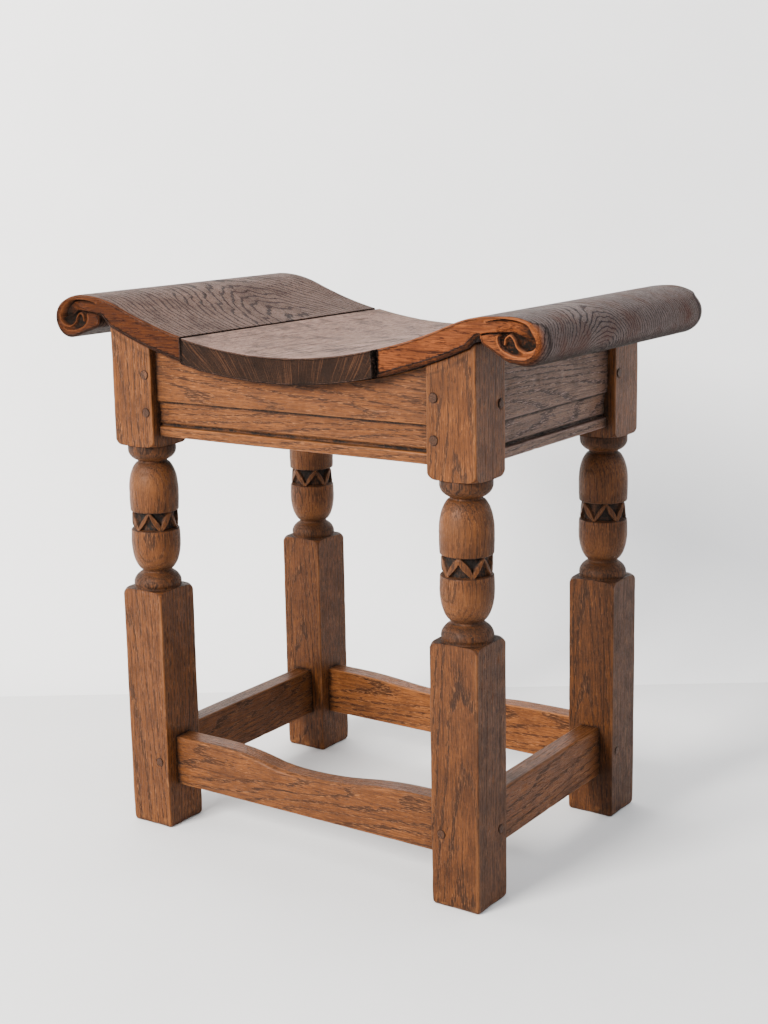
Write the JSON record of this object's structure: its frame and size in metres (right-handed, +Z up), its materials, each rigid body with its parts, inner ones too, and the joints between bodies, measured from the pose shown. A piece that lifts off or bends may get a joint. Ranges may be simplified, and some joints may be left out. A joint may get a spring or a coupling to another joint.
{
  "type": "kneeling bench",
  "caption": "Joined oak bench with a dished seat that rolls over into carved scrolls, on turned and chip-carved legs tied by moulded aprons and low stretchers.",
  "frame": {"origin": "on the floor under the middle of the seat, at the centre of the bounding box's bottom", "axes": "+X from the left scroll to the right scroll, +Y to the back, +Z up"},
  "size_m": [0.5082, 0.3036, 0.4965],
  "materials": {
    "oak_leg": "aged oak, waxed, satin, dark in the turned necks and carving",
    "oak_apron": "aged oak, waxed, satin, grain along the rail",
    "oak_stretcher": "aged oak, worn by feet, satin",
    "oak_scroll_board": "aged oak, polished by use, red-brown on the sawn edges",
    "oak_centre_board": "aged oak, polished by use, dark end grain at front and back",
    "oak_peg": "dark oak end grain"
  },
  "bodies": {
    "root": {"back_apron": "oak_apron", "back_left_leg": "oak_leg", "back_left_leg_back_apron_peg_high": "oak_peg", "back_left_leg_back_apron_peg_low": "oak_peg", "back_left_leg_back_stretcher_peg": "oak_peg", "back_left_leg_left_apron_peg": "oak_peg", "back_left_leg_left_stretcher_peg": "oak_peg", "back_right_leg": "oak_leg", "back_right_leg_back_apron_peg_high": "oak_peg", "back_right_leg_back_apron_peg_low": "oak_peg", "back_right_leg_back_stretcher_peg": "oak_peg", "back_right_leg_right_apron_peg": "oak_peg", "back_right_leg_right_stretcher_peg": "oak_peg", "back_stretcher": "oak_stretcher", "centre_seat_board": "oak_centre_board", "front_apron": "oak_apron", "front_left_leg": "oak_leg", "front_left_leg_front_apron_peg_high": "oak_peg", "front_left_leg_front_apron_peg_low": "oak_peg", "front_left_leg_front_stretcher_peg": "oak_peg", "front_left_leg_left_apron_peg": "oak_peg", "front_left_leg_left_stretcher_peg": "oak_peg", "front_right_leg": "oak_leg", "front_right_leg_front_apron_peg_high": "oak_peg", "front_right_leg_front_apron_peg_low": "oak_peg", "front_right_leg_front_stretcher_peg": "oak_peg", "front_right_leg_right_apron_peg": "oak_peg", "front_right_leg_right_stretcher_peg": "oak_peg", "front_stretcher": "oak_stretcher", "left_apron": "oak_apron", "left_seat_board": "oak_scroll_board", "left_stretcher": "oak_stretcher", "right_apron": "oak_apron", "right_seat_board": "oak_scroll_board", "right_stretcher": "oak_stretcher", "seat_peg_1": "oak_peg", "seat_peg_2": "oak_peg", "seat_peg_3": "oak_peg", "seat_peg_4": "oak_peg"}
  },
  "joints": []
}
